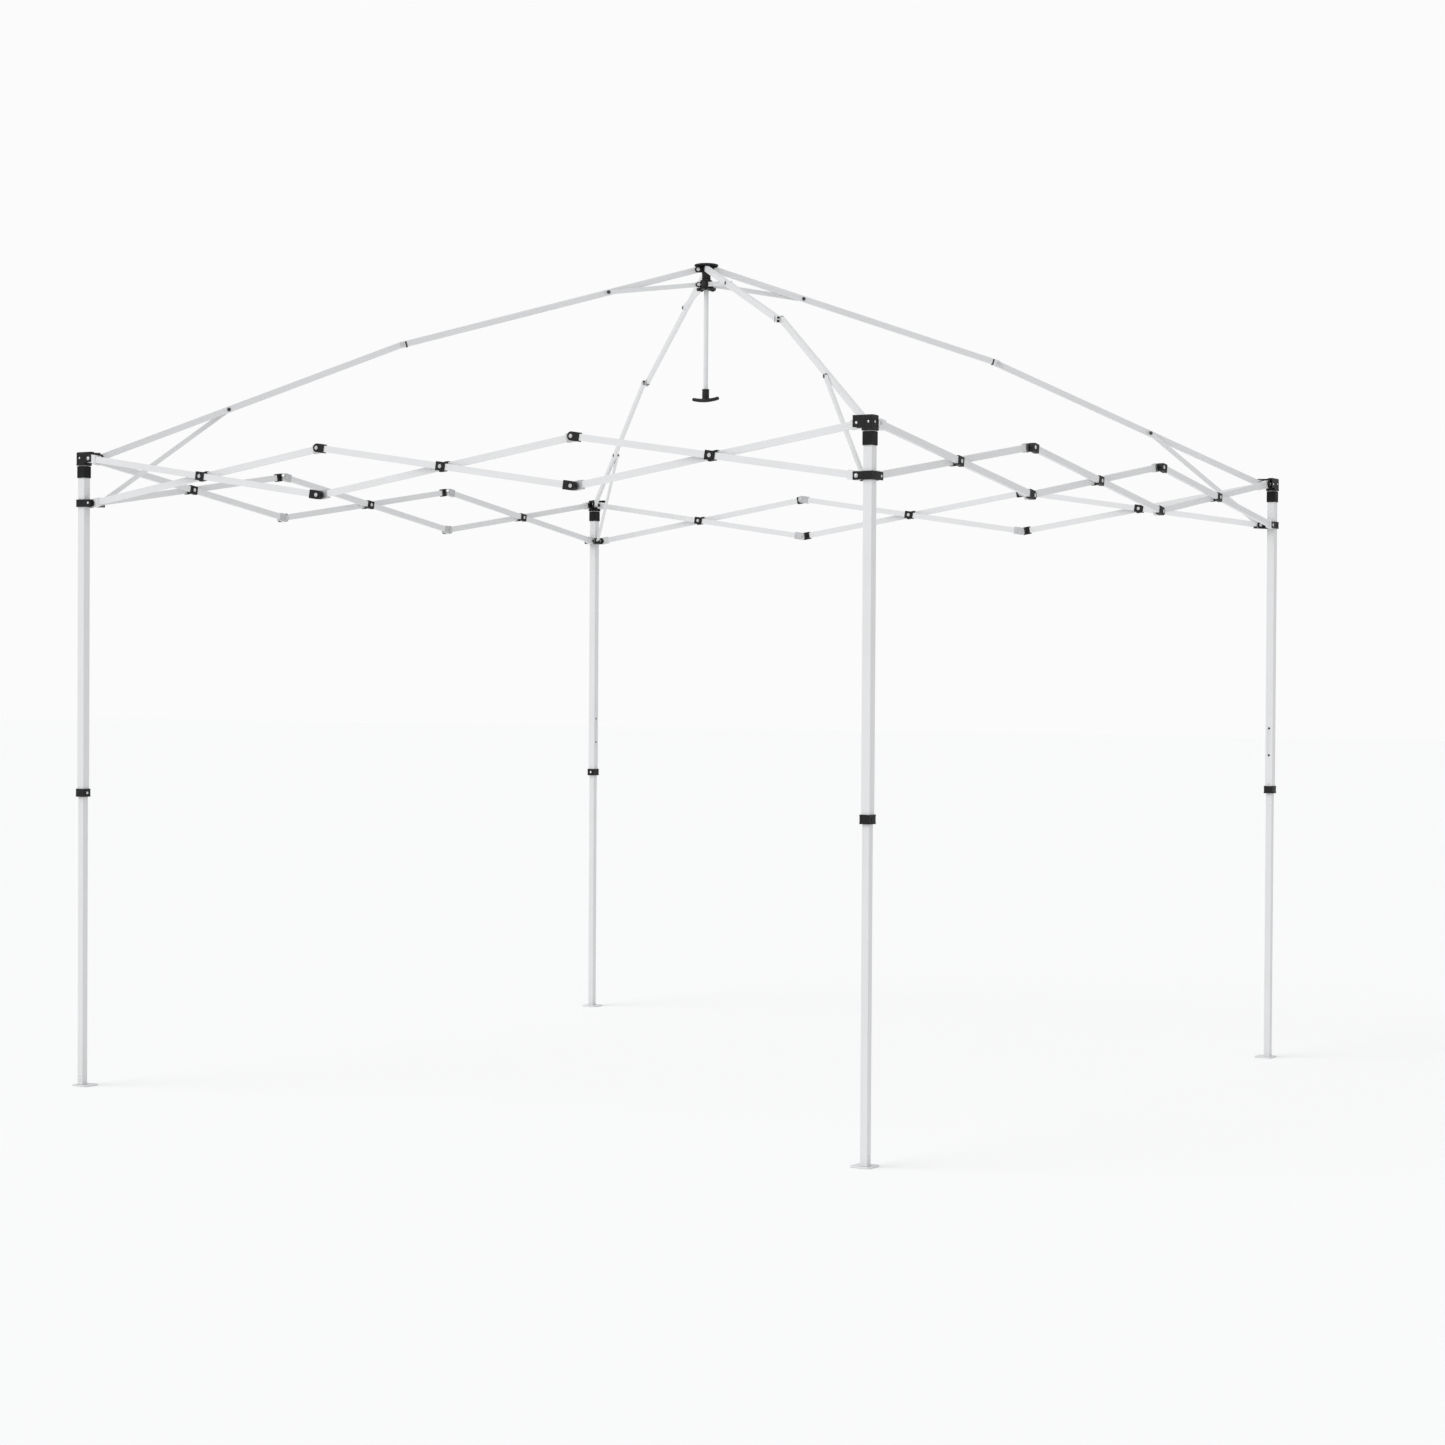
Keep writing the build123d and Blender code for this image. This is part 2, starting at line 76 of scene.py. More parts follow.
# ---------------------------------------------------------------- materials
class Graph:
    """The shader nodes of one material, with the steps its layers share."""

    def __init__(self, owner):
        owner.use_nodes = True
        self.tree = owner.node_tree
        self.tree.nodes.clear()
        output = self.new("OutputMaterial")
        self.shader = self.new("BsdfPrincipled")
        self.link(self.shader.outputs[0], output.inputs[0])
        self.coords = self.new("TexCoord").outputs["Object"]
        self.plain = self.mapping((1.0, 1.0, 1.0))

    def new(self, kind):
        return self.tree.nodes.new("ShaderNode" + kind)

    def link(self, source, target):
        self.tree.links.new(source, target)

    def mapping(self, scale):
        node = self.new("Mapping")
        node.inputs["Scale"].default_value = scale
        self.link(self.coords, node.inputs[0])
        return node.outputs[0]

    def noise(self, scale, detail=3.0, vector=None):
        node = self.new("TexNoise")
        node.inputs["Scale"].default_value = scale
        node.inputs["Detail"].default_value = detail
        node.inputs["Roughness"].default_value = 0.55
        self.link(vector or self.plain, node.inputs["Vector"])
        return node.outputs[0]

    def remap(self, value, low, high, bottom=0.0, top=1.0):
        """Take low..high to bottom..top."""
        node = self.new("MapRange")
        for socket, number in (("From Min", low), ("From Max", high),
                               ("To Min", bottom), ("To Max", top)):
            node.inputs[socket].default_value = number
        self.link(value, node.inputs["Value"])
        return node.outputs[0]

    def patches(self, low, high, bottom=0.0, top=1.0, **noise):
        return self.remap(self.noise(**noise), low, high, bottom, top)

    def multiply(self, first, second):
        node = self.new("Math")
        node.operation = "MULTIPLY"
        self.link(first, node.inputs[0])
        self.link(second, node.inputs[1])
        return node.outputs[0]

    def mix(self, amount, under, over):
        """Blend two colours, each an RGB tuple or a socket."""
        node = self.new("Mix")
        node.data_type = "RGBA"
        self.link(amount, node.inputs[0])
        for socket, colour in ((node.inputs[6], under), (node.inputs[7], over)):
            if isinstance(colour, tuple):
                socket.default_value = (*colour, 1.0)
            else:
                self.link(colour, socket)
        return node.outputs[2]

    def upward(self):
        """Mask of the surfaces that face up, where dust settles."""
        split = self.new("SeparateXYZ")
        self.link(self.new("NewGeometry").outputs["Normal"], split.inputs[0])
        facing = self.remap(split.outputs[2], low=0.3, high=1.0, top=0.25)
        return self.multiply(facing, self.patches(scale=35.0, low=0.4, high=0.7))

    def worn_and_sheen_edges(self, amount):
        """Mask of the edges, found where a bevelled normal leaves the true one; the lighter edge
        colour laid on it is partly wear and partly a painted highlight (sheen).
        """
        bevel = self.new("Bevel")
        bevel.samples = 4
        bevel.inputs["Radius"].default_value = 0.0012
        dot = self.new("VectorMath")
        dot.operation = "DOT_PRODUCT"
        self.link(bevel.outputs[0], dot.inputs[0])
        self.link(self.new("NewGeometry").outputs["True Normal"], dot.inputs[1])
        edges = self.remap(dot.outputs["Value"], low=0.995, high=0.86)
        return self.multiply(edges, self.patches(scale=90.0, detail=4.0, low=0.35, high=0.65,
                                                 bottom=0.15, top=amount))

    def bump(self, height, strength):
        node = self.new("Bump")
        node.inputs["Strength"].default_value = strength
        node.inputs["Distance"].default_value = 0.0006
        self.link(height, node.inputs["Height"])
        self.link(node.outputs[0], self.shader.inputs["Normal"])


def darker(colour, factor):
    return tuple(channel * factor for channel in colour)


def material(name, base, rough, tint, tint_amount, grain_bump, edge, edge_amount, grain=None,
             metallic=0.0, streak=0.0, coat=0.0, dust=None, specular=0.5):
    """Finish with slow and fine colour variation, edges lightened partly as wear and partly as a
    painted highlight, grain and uneven gloss.

    grain is the scale of the bump noise; without it the surface is brushed.
    """
    made = bpy.data.materials.new(name)
    made.diffuse_color = (*base, 1)
    graph = Graph(made)
    inputs = graph.shader.inputs
    slow = graph.patches(scale=7.0, low=0.42, high=0.72, top=tint_amount)
    colour = graph.mix(slow, base, tint)
    fine = graph.patches(scale=160.0, detail=4.0, low=0.5, high=0.8, top=tint_amount * 0.8)
    colour = graph.mix(fine, colour, darker(base, 0.93))
    if streak:
        lines = graph.patches(scale=1.0, detail=2.0, vector=graph.mapping((260.0, 260.0, 5.0)),
                              low=0.58, high=0.75, top=streak)
        colour = graph.mix(lines, colour, darker(base, 0.72))
    if dust:
        colour = graph.mix(graph.upward(), colour, dust)
    # lighter edges: partly wear, partly a painted highlight (sheen)
    colour = graph.mix(graph.worn_and_sheen_edges(edge_amount), colour, edge)
    graph.link(colour, inputs["Base Color"])
    gloss = graph.patches(scale=45.0, detail=4.0, low=0.3, high=0.7,
                          bottom=rough - 0.07, top=rough + 0.1)
    graph.link(gloss, inputs["Roughness"])
    inputs["Metallic"].default_value = metallic
    inputs["Specular IOR Level"].default_value = specular
    if coat:
        inputs["Coat Weight"].default_value = coat
        inputs["Coat Roughness"].default_value = 0.25
    if grain:
        height = graph.noise(scale=grain)
    else:
        brush = graph.mapping((1500.0, 1500.0, 120.0))
        height = graph.noise(scale=1.0, detail=2.0, vector=brush)
    graph.bump(height, grain_bump)
    return made


POWDER = dict(grain=750.0, grain_bump=0.10, edge=(0.80, 0.80, 0.80), edge_amount=0.6, coat=0.15)
WHITE = material(
    "white_powder_coat", base=(0.73, 0.735, 0.74), rough=0.36, tint=(0.68, 0.68, 0.675),
    tint_amount=0.35, dust=(0.60, 0.585, 0.56), **POWDER)
INNER = material(
    "white_inner_tube", base=(0.72, 0.725, 0.73), rough=0.34, tint=(0.66, 0.66, 0.655),
    tint_amount=0.4, streak=0.22, **POWDER)
# the much lighter edge colour on black plastic is mostly a painted highlight (sheen), with a little
# wear
BLACK = material(
    "black_moulded_plastic", base=(0.0065, 0.0065, 0.0075), rough=0.5,
    tint=(0.012, 0.012, 0.0125), tint_amount=0.8, grain=1500.0, grain_bump=0.35,
    edge=(0.075, 0.075, 0.078), edge_amount=0.75, dust=(0.07, 0.068, 0.064), specular=0.25)
RUBBER = material(
    "black_sleeve", base=(0.004, 0.004, 0.0045), rough=0.66, tint=(0.009, 0.009, 0.009),
    tint_amount=0.7, grain=2200.0, grain_bump=0.25, edge=(0.04, 0.04, 0.04), edge_amount=0.6,
    specular=0.25)
STEEL = material(
    "zinc_rivet", base=(0.70, 0.70, 0.71), rough=0.27, metallic=1.0, tint=(0.58, 0.58, 0.57),
    tint_amount=0.5, grain=1200.0, grain_bump=0.08, edge=(0.82, 0.82, 0.82), edge_amount=0.7)
CLIP = material(
    "pressed_steel_clip", base=(0.60, 0.605, 0.61), rough=0.33, metallic=0.9,
    tint=(0.48, 0.48, 0.475), tint_amount=0.5, grain_bump=0.12, edge=(0.80, 0.80, 0.80),
    edge_amount=0.8)
DARK = material(
    "dark_rivet", base=(0.05, 0.05, 0.053), rough=0.4, metallic=0.6, tint=(0.09, 0.088, 0.085),
    tint_amount=0.6, grain=1200.0, grain_bump=0.1, edge=(0.3, 0.3, 0.3), edge_amount=0.6)


# ---------------------------------------------------------------- finishes of the CAD nodes
def face_points(mesh, faces):
    return [mesh.vertices[v].co for i in faces for v in mesh.polygons[i].vertices]


def islands(node):
    """[(polygon indices, low corner, high corner)] of each separate solid in a node's mesh."""
    mesh = node.data
    seen = {}
    first = [seen.setdefault(tuple(round(c, 5) for c in v.co), v.index) for v in mesh.vertices]
    parent = list(range(len(mesh.vertices)))

    def root(i):
        while parent[i] != i:
            parent[i] = parent[parent[i]]
            i = parent[i]
        return i

    for polygon in mesh.polygons:
        home = root(first[polygon.vertices[0]])
        for v in polygon.vertices[1:]:
            other = root(first[v])
            if home != other:
                parent[other] = home
    groups = {}
    for polygon in mesh.polygons:
        groups.setdefault(root(first[polygon.vertices[0]]), []).append(polygon.index)
    found = []
    for faces in groups.values():
        columns = list(zip(*face_points(mesh, faces)))
        found.append((faces, Vector([min(c) for c in columns]), Vector([max(c) for c in columns])))
    return found


def scissor_finish(name, box, low, high):
    """Long tubes white, rivets steel, the middle joint black, end fittings by bar number."""
    number = int(name[-1])
    whole = box[1] - box[0]
    axis = 0 if whole.x > whole.y else 1
    size = high - low
    offset = ((low + high) / 2 - (box[0] + box[1]) / 2)[axis]
    # the end of bars 1, 2, 5 and 6 that meets a leg
    leg_end = {1: -1, 2: -1, 5: 1, 6: 1}.get(number, 0)
    if not name.startswith(("front", "right")):
        leg_end = -leg_end
    if max(size) > 0.3:
        return WHITE
    if size[axis] < 0.0145 and size.z < 0.0145:
        return STEEL
    if abs(offset) < 0.1:
        return BLACK
    if offset * leg_end > 0:
        return WHITE
    return BLACK if number % 2 else CLIP


def solid_finish(name, box, low, high):
    """The material of one solid of a node, told by its size and place."""
    wide, tall = high.x - low.x, high.z - low.z
    if "_scissor_bar_" in name:
        return scissor_finish(name, box, low, high)
    if name.startswith("corner_bracket"):
        if tall < 0.02:
            return STEEL
        return RUBBER if high.z < 2.0125 else BLACK
    if name.startswith("slider"):
        return STEEL if tall < 0.02 else BLACK
    if name.startswith("upper_leg"):
        return BLACK if tall < 0.1 else WHITE
    if name.startswith("lower_leg"):
        return INNER
    if name.startswith(tuple(BAR_HEIGHTS)):
        if tall > 0.02 or wide > 0.04:
            return WHITE
        return STEEL if abs(abs(low.x + high.x) / 2 - 0.7327) < 0.02 else DARK
    if name in ("peak_hub", "lower_hub"):
        return STEEL if tall < 0.02 and wide < 0.03 else BLACK
    return WHITE if name == "centre_pole" else BLACK


def paint(name, node, box):
    used = []
    node.data.materials.clear()
    for faces, low, high in islands(node):
        chosen = solid_finish(name, box, low, high)
        if chosen not in used:
            used.append(chosen)
            node.data.materials.append(chosen)
        for i in faces:
            node.data.polygons[i].material_index = used.index(chosen)


def round_edges(thing, width, segments, angle):
    bevel = thing.modifiers.new("round", "BEVEL")
    bevel.width = width
    bevel.segments = segments
    bevel.limit_method = "ANGLE"
    bevel.angle_limit = angle


for name, node in nodes.items():
    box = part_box(name)
    paint(name, node, box)
    # weld the triangles' shared corners so that the edges can be rounded
    node.modifiers.new("weld", "WELD").merge_threshold = 0.00001
    large = (box[1] - box[0]).length > 0.3
    round_edges(node, width=0.0005 if large else 0.0008, segments=2, angle=0.9)


# ---------------------------------------------------------------- building detail pieces
class Frame(namedtuple("Frame", "origin x y z")):
    """A local frame: an origin and three unit vectors."""

    def at(self, x, y, z):
        return self.origin + self.x * x + self.y * y + self.z * z

    def moved(self, x, y, z):
        return Frame(self.at(x, y, z), *self[1:])


WORLD = Frame(ORIGIN, X, Y, UP)
# (radius, height) of a rivet head
DOME = [(0.0, 0.0), (0.0034, 0.0), (0.0034, 0.0006), (0.0028, 0.0013), (0.0016, 0.0018),
        (0.0, 0.0019)]


class Part:
    """A mesh under construction; each shape is placed in a Frame."""

    def __init__(self):
        self.mesh = bmesh.new()

    def bridge(self, lower, upper):
        """Quads between two rings, or triangles where one is a single point."""
        count = max(len(lower), len(upper))
        for i in range(count):
            j = (i + 1) % count
            if len(lower) == 1:
                loop = (lower[0], upper[j], upper[i])
            elif len(upper) == 1:
                loop = (lower[i], lower[j], upper[0])
            else:
                loop = (lower[i], lower[j], upper[j], upper[i])
            self.mesh.faces.new(loop)

    def slab(self, frame, at, size, taper=1.0):
        """Box centred on `at`; its +z face is scaled by taper."""
        local = frame.moved(*at)
        verts = []
        for end, scale in ((-0.5, 1.0), (0.5, taper)):
            for a, b in ((-0.5, -0.5), (0.5, -0.5), (0.5, 0.5), (-0.5, 0.5)):
                place = local.at(a * size[0] * scale, b * size[1] * scale, end * size[2])
                verts.append(self.mesh.verts.new(place))
        for loop in ((3, 2, 1, 0), (4, 5, 6, 7), (0, 1, 5, 4), (1, 2, 6, 5), (2, 3, 7, 6),
                     (3, 0, 4, 7)):
            self.mesh.faces.new([verts[i] for i in loop])

    def lathe(self, frame, at, profile, steps=28):
        """Shape turned about the frame's z; profile is [(radius, height)]."""
        centre = frame.at(*at)
        rings = []
        for radius, height in profile:
            middle = centre + frame.z * height
            if radius == 0.0:
                rings.append([self.mesh.verts.new(middle)])
                continue
            angles = [2 * pi * i / steps for i in range(steps)]
            rings.append([self.mesh.verts.new(middle + (frame.x * cos(a) + frame.y * sin(a)) * radius)
                          for a in angles])
        for lower, upper in zip(rings, rings[1:]):
            self.bridge(lower, upper)

    def rivet(self, frame, at, wide=1.0, tall=1.0):
        self.lathe(frame, at, [(radius * wide, height * tall) for radius, height in DOME])

    def band(self, height, radius, swell, tall, steps):
        """Raised band round the Z axis, with sloping edges."""
        slope, crest = 0.0006, radius + swell
        self.lathe(WORLD, (0, 0, height), [(radius, 0.0), (crest, slope), (crest, tall - slope),
                                           (radius, tall)], steps)

    def webs(self, radius, height, size):
        """Eight radial webs round the Z axis."""
        for i in range(8):
            angle = pi / 8 + i * pi / 4
            radial = Vector((cos(angle), sin(angle), 0))
            self.slab(Frame(ORIGIN, radial, UP.cross(radial), UP), (radius, 0, height), size)

    def ring(self, frame, height, outer, inner, thick):
        """Square ring with rounded corners; outer and inner are its widths."""
        local = frame.moved(0, 0, height)
        steps = 4
        loops = []
        for width, radius in ((outer, 0.003), (inner, 0.003 * 0.4)):
            reach = width / 2 - radius
            outline = []
            for quarter, (a, b) in enumerate(((1, 1), (-1, 1), (-1, -1), (1, -1))):
                for i in range(steps + 1):
                    angle = (quarter + i / steps) * pi / 2
                    outline.append((a * reach + radius * cos(angle),
                                    b * reach + radius * sin(angle)))
            for z in (-thick / 2, thick / 2):
                loops.append([self.mesh.verts.new(local.at(x, y, z)) for x, y in outline])
        outer_low, outer_high, inner_low, inner_high = loops
        for i in range(len(outer_low)):
            j = (i + 1) % len(outer_low)
            for loop in ((outer_low[i], outer_low[j], outer_high[j], outer_high[i]),
                         (inner_low[j], inner_low[i], inner_high[i], inner_high[j]),
                         (outer_high[i], outer_high[j], inner_high[j], inner_high[i]),
                         (outer_low[j], outer_low[i], inner_low[i], inner_low[j])):
                self.mesh.faces.new(loop)

    def build(self, name, finish):
        mesh = bpy.data.meshes.new(name)
        self.mesh.to_mesh(mesh)
        self.mesh.free()
        mesh.materials.append(finish)
        made = bpy.data.objects.new(name, mesh)
        bpy.context.scene.collection.objects.link(made)
        return made

    def finish(self, name, finish, body, bevel=0.0, segments=2):
        """Build a smooth-shaded object that moves with `body`."""
        bmesh.ops.recalc_face_normals(self.mesh, faces=self.mesh.faces)
        made = self.build(name, finish)
        if bevel:
            round_edges(made, bevel, segments, angle=0.6)
        for polygon in made.data.polygons:
            polygon.use_smooth = True
        made.modifiers.new("normals", "WEIGHTED_NORMAL").keep_sharp = True
        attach(made, body)
        return made


# ---------------------------------------------------------------- the corners
class Corner:
    """Frames at a leg's foot; a face's x runs along it, y up and z out of it."""

    def __init__(self, index, name):
        def turned(x, y):
            for _ in range(index):
                x, y = -y, x
            return Vector((x, y, 0))

        self.name, self.body = name, "frame_" + name
        leg = turned(-HALF, -HALF)
        onward, back = turned(1, 0), turned(0, 1)    # to the next and the previous corner
        self.upright = Frame(leg, onward, back, UP)
        # x inward to the pole, y across
        self.diagonal = Frame(leg, turned(sqrt(0.5), sqrt(0.5)), turned(sqrt(0.5), -sqrt(0.5)), UP)
        self.outer_faces = (Frame(leg, onward, UP, -back), Frame(leg, back, UP, -onward))
        self.onward_face = Frame(leg, back, UP, onward)
        self.back_face = Frame(leg, onward, UP, back)
        # the brackets are handed: two have both cheeks, two only one
        self.cheek_faces = self.outer_faces[index % 2:]


def add_bracket(corner):
    """Crowned lid, skirt, flange over the rib's end, stiffening webs, cheeks and rivets."""
    part = Part()
    part.slab(corner.upright, at=(0, 0, 2.0557), size=(0.0352, 0.0352, 0.0034), taper=0.86)
    part.ring(corner.upright, height=2.0168, outer=0.0366, inner=0.0341, thick=0.0048)
    part.slab(corner.diagonal, at=(0.037, 0.006, 2.0547), size=(0.030, 0.024, 0.0026))
    for face in corner.outer_faces:
        for shift in (-0.011, 0.011):
            part.slab(face, at=(shift, 2.036, 0.0174), size=(0.0022, 0.028, 0.0012), taper=0.7)
    for face in corner.cheek_faces:
        part.slab(face, at=(0.0285, 2.0404, 0.01635), size=(0.0350, 0.0336, 0.0014))
        level = Frame(face.origin, face.x, face.z, UP)
        part.slab(level, at=(0.0300, 0.0092, 2.0561), size=(0.0320, 0.0156, 0.0022))
    part.finish("bracket_detail_" + corner.name, BLACK, corner.body, bevel=0.0006)
    part = Part()
    for face in corner.outer_faces:
        part.rivet(face, at=(-0.004, 2.038, 0.01701))
    for face in corner.cheek_faces:
        part.rivet(face, at=(0.034, 2.036, 0.01704), wide=1.15)
    part.finish("bracket_rivets_" + corner.name, STEEL, corner.body)


def add_sleeve(corner):
    """Rolled lips at both ends of the sleeve under the bracket."""
    part = Part()
    for offset in (0.0175, -0.0175):
        part.ring(corner.upright, SLEEVE_Z + offset, outer=0.0320, inner=0.0311, thick=0.0028)
    part.finish("sleeve_lips_" + corner.name, RUBBER, corner.body, bevel=0.0003)


def add_collar(corner):
    """Lips, pads and button of the upper leg's bottom collar, and solid dark discs inside the holes
    above, painted shade of the tube's inside.
    """
    part = Part()
    for offset in (0.011, -0.011):
        part.ring(corner.upright, COLLAR_Z + offset, outer=0.0350, inner=0.0331, thick=0.0040)
    for face in (corner.onward_face, corner.outer_faces[0]):
        part.slab(face, at=(0, COLLAR_Z, 0.0172), size=(0.016, 0.012, 0.0014), taper=0.85)
    part.finish("collar_detail_" + corner.name, BLACK, corner.body, bevel=0.0005)
    part = Part()
    part.rivet(corner.onward_face, at=(0, COLLAR_Z, 0.0178), wide=1.3, tall=1.2)
    part.rivet(corner.back_face, at=(0, COLLAR_Z + 0.022, 0.01351))
    part.finish("collar_button_" + corner.name, STEEL, corner.body)
    part = Part()
    # solid black discs behind the holes: painted shade of the tube's inside, not a real liner
    radius, thick = 0.00385, 0.0009
    for height in HOLES_Z:
        part.lathe(corner.back_face, (0, height, 0.0121),
                   [(0.0, 0.0), (radius, 0.0), (radius, thick), (0.0, thick)])
    part.finish("hole_liners_" + corner.name, RUBBER, corner.body)


def add_slider(corner):
    """Lips, release lever, pads and side plates of the slider, and its rivets."""
    part = Part()
    for offset in (0.0100, -0.0100):
        part.ring(corner.upright, SLIDER_Z + offset, outer=0.0372, inner=0.0351, thick=0.0036)
    part.slab(corner.diagonal, at=(0.045, 0, SLIDER_Z - 0.0102), size=(0.040, 0.019, 0.0032))
    part.slab(corner.diagonal, at=(0.064, 0, SLIDER_Z - 0.0082), size=(0.005, 0.021, 0.0072))
    for face in corner.outer_faces:
        part.slab(face, at=(-0.004, SLIDER_Z, 0.0180), size=(0.018, 0.011, 0.0012), taper=0.86)
        part.slab(face, at=(0.0280, SLIDER_Z, 0.01665), size=(0.0330, 0.0232, 0.0016))
    part.finish("slider_detail_" + corner.name, BLACK, "slider_" + corner.name, bevel=0.0006)
    part = Part()
    for face in corner.outer_faces:
        part.rivet(face, at=(0.034, SLIDER_Z, 0.01744), wide=1.15)
    part.finish("slider_rivets_" + corner.name, STEEL, "slider_" + corner.name)


def add_foot(corner):
    """Weld bead round the foot of the tube, and two rivets above it."""
    body = "lower_leg_" + corner.name
    part = Part()
    part.ring(corner.upright, height=0.0058, outer=0.0262, inner=0.0216, thick=0.0032)
    part.finish("foot_weld_" + corner.name, INNER, body, bevel=0.0012, segments=3)
    part = Part()
    for height in (0.020, 0.032):
        part.rivet(corner.outer_faces[0], at=(0, height, 0.01076), wide=0.75, tall=0.8)
    part.finish("foot_rivets_" + corner.name, STEEL, body)


corners = [Corner(index, name) for index, name in enumerate(CORNERS)]
for corner in corners:
    for add in (add_bracket, add_sleeve, add_collar, add_slider, add_foot):
        add(corner)


# ---------------------------------------------------------------- ribs and struts
def bar_ends(node, corner):
    """Frames at a bar's leg end and pole end (x along it, y across), and its thickness."""
    _, inward, across, _ = corner.diagonal
    faces = max(islands(node), key=lambda island: (island[2] - island[1]).length)[0]
    points = face_points(node.data, faces)
    reach = [p.dot(inward) for p in points]
    sides = [p.dot(across) for p in points]
    near, far = min(reach) + END_ZONE, max(reach) - END_ZONE
    ends = []        # (distance inward, height)
    for group in ([p for p in points if p.dot(inward) < near],
                  [p for p in points if p.dot(inward) > far]):
        heights = [p.z for p in group]
        ends.append(Vector((sum(p.dot(inward) for p in group) / len(group),
                            (min(heights) + max(heights)) / 2)))
    run = ends[1] - ends[0]
    along = (inward * (ends[1].x - ends[0].x) + UP * (ends[1].y - ends[0].y)) / run.length
    middle = (min(sides) + max(sides)) / 2
    frames = [Frame(inward * end.x + UP * end.y + across * middle,
                    along, across, across.cross(along).normalized()) for end in ends]
    return *frames, max(sides) - min(sides)


def add_end_plugs(name, leg_end, pole_end, thick, tall):
    part = Part()
    for frame, shift in ((leg_end, 0.0035), (pole_end, -0.0035)):
        part.slab(frame, at=(shift, 0, 0), size=(0.006, thick - 0.0024, tall - 0.0024))
    part.finish("end_plugs_" + name, BLACK, name, bevel=0.0003)


def add_knee_band(name, leg_end, thick, tall):
    """Four thin strips round the bar near its leg end."""
    part = Part()
    skin, length = 0.0004, 0.0055
    section = Frame(leg_end.at(0.019, 0, 0), leg_end.y, leg_end.z, leg_end.x)
    for side in (1, -1):
        part.slab(section, (0, side * (tall / 2 + skin / 2), 0), (thick + 2 * skin, skin, length))
    for side in (1, -1):
        part.slab(section, (side * (thick / 2 + skin / 2), 0, 0), (skin, tall, length))
    part.finish("knee_band_" + name, DARK, name)


for bar, tall in BAR_HEIGHTS.items():
    for corner in corners:
        name = bar + "_" + corner.name
        leg_end, pole_end, thick = bar_ends(nodes[name], corner)
        add_end_plugs(name, leg_end, pole_end, thick, tall)
        if bar == "inner_rib":
            add_knee_band(name, leg_end, thick, tall)


# ---------------------------------------------------------------- hubs and pull handle
def add_peak_hub():
    """Dished disc with webs under it, two bands on the neck and a centre screw."""
    part = Part()
    part.lathe(WORLD, (0, 0, 2.7402),
               [(0.0, 0.0), (0.0385, 0.0), (0.0385, 0.0008), (0.0330, 0.0022), (0.0290, 0.0016),
                (0.0120, 0.0030), (0.0, 0.0032)], steps=64)
    part.webs(radius=0.0255, height=2.7325, size=(0.021, 0.0022, 0.0048))
    for height in (2.6915, 2.7080):
        part.band(height, radius=0.0141, swell=0.0015, tall=0.0028, steps=40)
    part.finish("peak_hub_detail", BLACK, "peak_hub", bevel=0.0004)
    part = Part()
    part.lathe(WORLD, (0, 0, 2.7434),
               [(0.0, 0.0), (0.0062, 0.0), (0.0062, 0.0010), (0.0050, 0.0022), (0.0, 0.0026)],
               steps=32)
    part.finish("peak_hub_screw", STEEL, "peak_hub")


def add_lower_hub():
    part = Part()
    for height in (2.6625, 2.6840):
        part.band(height, radius=0.0199, swell=0.0011, tall=0.0024, steps=48)
    part.webs(radius=0.0260, height=2.6530, size=(0.012, 0.0022, 0.0036))
    part.finish("lower_hub_detail", BLACK, "pull_assembly", bevel=0.0004)


def add_pull_handle():
    """Tapered grip swept along a shallow arc in X, with a ringed stem."""
    arc_radius, half_length, grip_z, stem_z = 0.224, 0.0545, 2.2803, 2.2790
    steps, sides = 28, 16
    part = Part()
    rings = []
    for i in range(steps + 1):
        along = -1 + 2 * i / steps
        angle = along * half_length / arc_radius
        centre = Vector((arc_radius * sin(angle), 0, grip_z + arc_radius * (1 - cos(angle))))
        rounding = max(0.0, (abs(along) - 0.90) / 0.10)    # over the last tenth at each end
        scale = sqrt(1 - rounding ** 2) * 0.9 + 0.1
        wide = (0.0078 - 0.0012 * abs(along)) * scale
        tall = (0.0064 - 0.0006 * abs(along)) * scale
        normal = Vector((-sin(angle), 0, cos(angle)))
        turns = [2 * pi * j / sides for j in range(sides)]
        rings.append([part.mesh.verts.new(centre + Y * (wide * cos(t)) + normal * (tall * sin(t)))
                      for t in turns])
    for first, second in zip(rings, rings[1:]):
        part.bridge(first, second)
    part.mesh.faces.new(list(reversed(rings[0])))
    part.mesh.faces.new(rings[-1])
    part.lathe(WORLD, (0, 0, stem_z),
               [(0.0, 0.0), (0.0150, 0.0), (0.0130, 0.0060), (0.0118, 0.0120), (0.0118, 0.0350),
                (0.0126, 0.0358), (0.0126, 0.0384), (0.0116, 0.0392), (0.0, 0.0392)], steps=40)
    for offset in (0.0165, 0.0215, 0.0265):
        part.band(stem_z + offset, radius=0.0116, swell=0.0008, tall=0.0022, steps=40)
    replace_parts(part.finish("pull_handle_grip", BLACK, "pull_assembly"), "pull_handle")


add_peak_hub()
add_lower_hub()
add_pull_handle()


# ---------------------------------------------------------------- floor, light, camera
def add_floor():
    paint_white = bpy.data.materials.new("floor_white")
    paint_white.use_nodes = True
    inputs = paint_white.node_tree.nodes["Principled BSDF"].inputs
    inputs["Base Color"].default_value = (0.955, 0.955, 0.955, 1)
    inputs["Roughness"].default_value = 0.9
    inputs["Specular IOR Level"].default_value = 0.1
    part = Part()
    part.mesh.faces.new([part.mesh.verts.new((x, y, -0.0005))
                         for x, y in ((-60, -60), (60, -60), (60, 60), (-60, 60))])
    part.build("floor", paint_white)


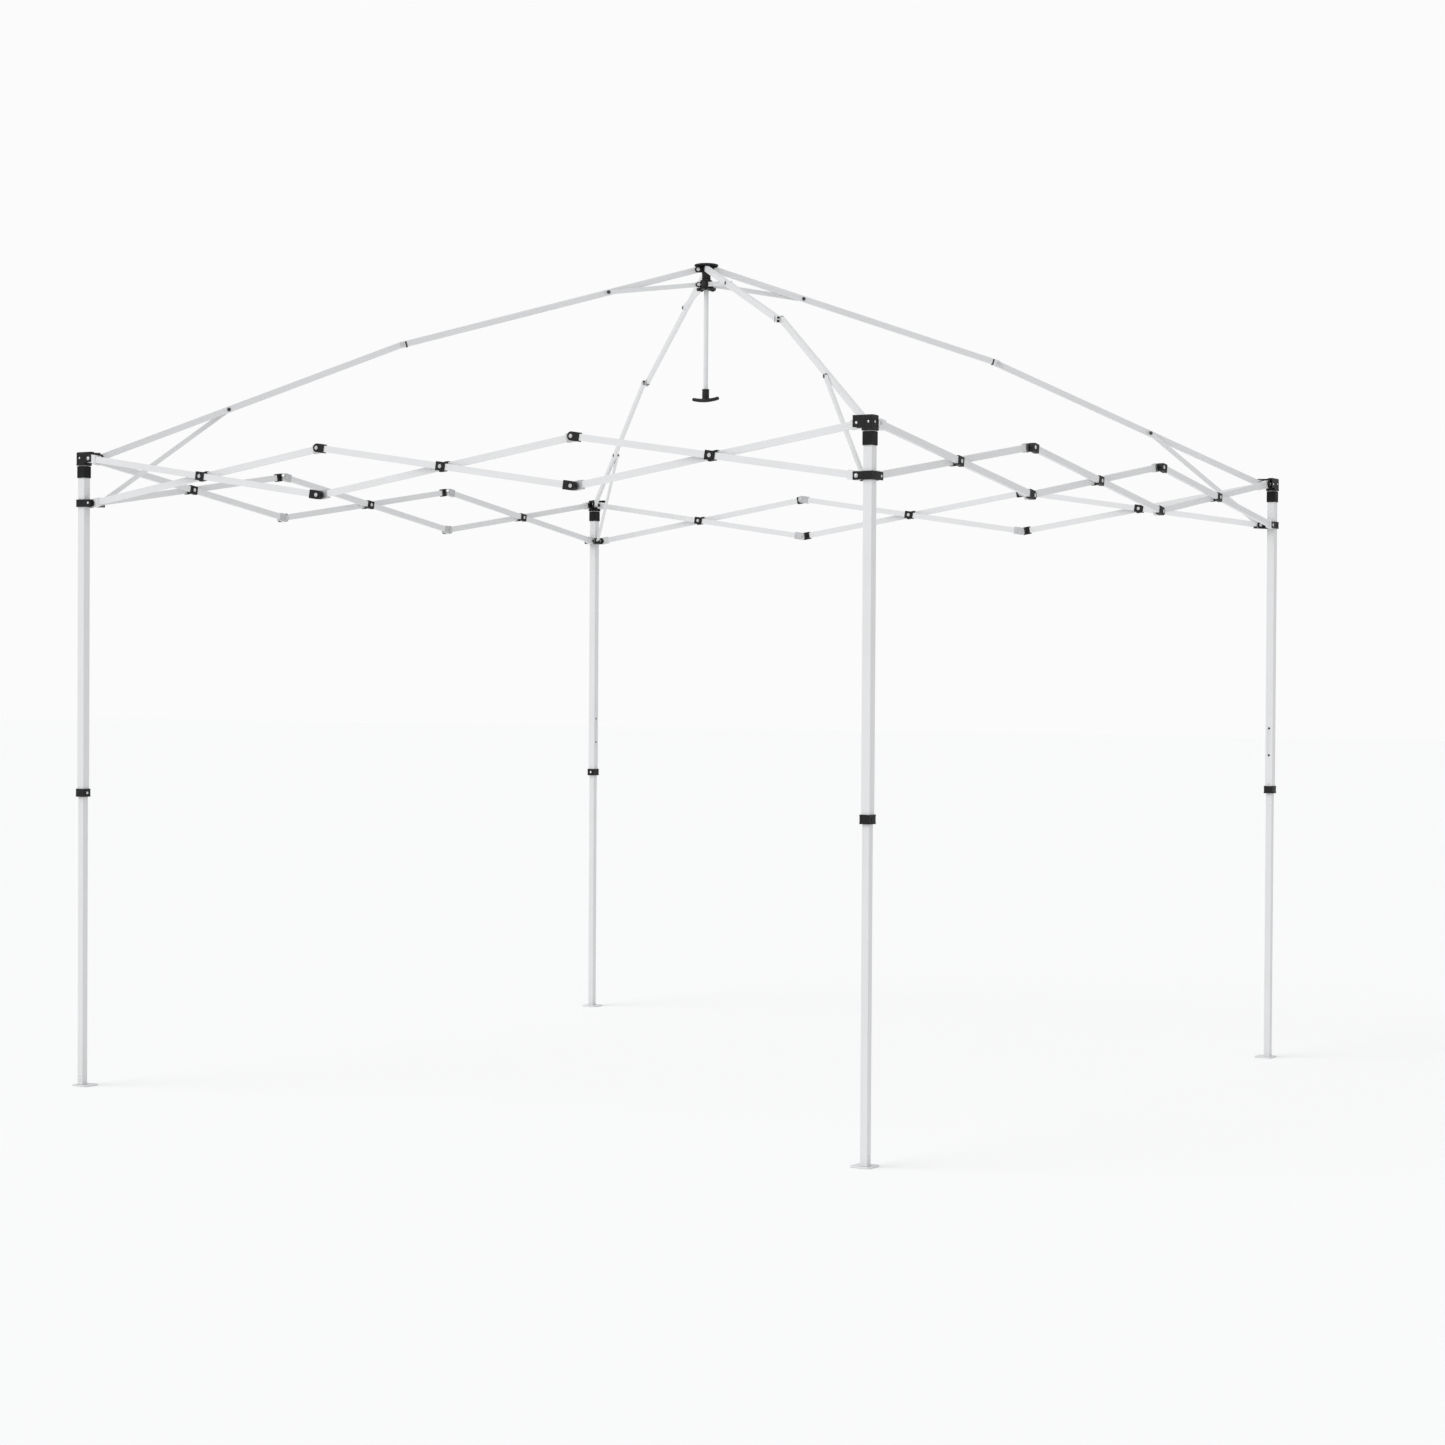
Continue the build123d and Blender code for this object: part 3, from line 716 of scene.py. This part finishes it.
def add_world():
    """Soft white surroundings, brighter where the camera sees them directly."""
    world = bpy.data.worlds.new("studio")
    bpy.context.scene.world = world
    world.use_nodes = True
    tree = world.node_tree
    light = tree.nodes["Background"]
    seen = tree.nodes.new("ShaderNodeBackground")
    for node, colour, strength in ((light, (0.985, 0.99, 1.0, 1), 0.68),
                                   (seen, (1.0, 1.0, 1.0, 1), 0.965)):
        node.inputs[0].default_value = colour
        node.inputs[1].default_value = strength
    path = tree.nodes.new("ShaderNodeLightPath")
    blend = tree.nodes.new("ShaderNodeMixShader")
    for source, target in ((path.outputs["Is Camera Ray"], blend.inputs[0]),
                           (light.outputs[0], blend.inputs[1]),
                           (seen.outputs[0], blend.inputs[2]),
                           (blend.outputs[0], tree.nodes["World Output"].inputs[0])):
        tree.links.new(source, target)


def add_sun(name, direction, angle, strength):
    light = bpy.data.lights.new(name, "SUN")
    light.angle = angle
    light.energy = strength
    lamp = bpy.data.objects.new(name, light)
    lamp.rotation_euler = Vector(direction).to_track_quat("-Z", "Y").to_euler()
    bpy.context.scene.collection.objects.link(lamp)


def add_camera(place, yaw, pitch, roll, lens):
    """Camera at `place`, in leg spacings; yaw is from +Y towards +X, angles in radians."""
    forward = Vector((sin(yaw) * cos(pitch), cos(yaw) * cos(pitch), sin(pitch)))
    level = forward.cross(UP).normalized()
    upright = level.cross(forward)
    right = level * cos(roll) + upright * sin(roll)
    above = upright * cos(roll) - level * sin(roll)
    data = bpy.data.cameras.new("camera")
    data.sensor_width = 36.0
    data.lens = lens
    data.clip_end = 200
    camera = bpy.data.objects.new("camera", data)
    matrix = Matrix((right, above, -forward)).transposed().to_4x4()
    matrix.translation = Vector([c * 2 * HALF for c in place])
    camera.matrix_world = matrix
    bpy.context.scene.collection.objects.link(camera)
    bpy.context.scene.camera = camera


add_floor()
add_world()
add_sun("key_left", direction=(0.55, 0.75, -0.85), angle=0.9, strength=1.2)
add_sun("top_soft", direction=(-0.15, 0.1, -1.0), angle=1.2, strength=0.25)
add_camera(place=(1.8759, -2.9523, 0.4564), yaw=-0.5598, pitch=-0.0143, roll=0.0059,
           lens=74.7967889)
bpy.context.scene.view_settings.view_transform = "Standard"
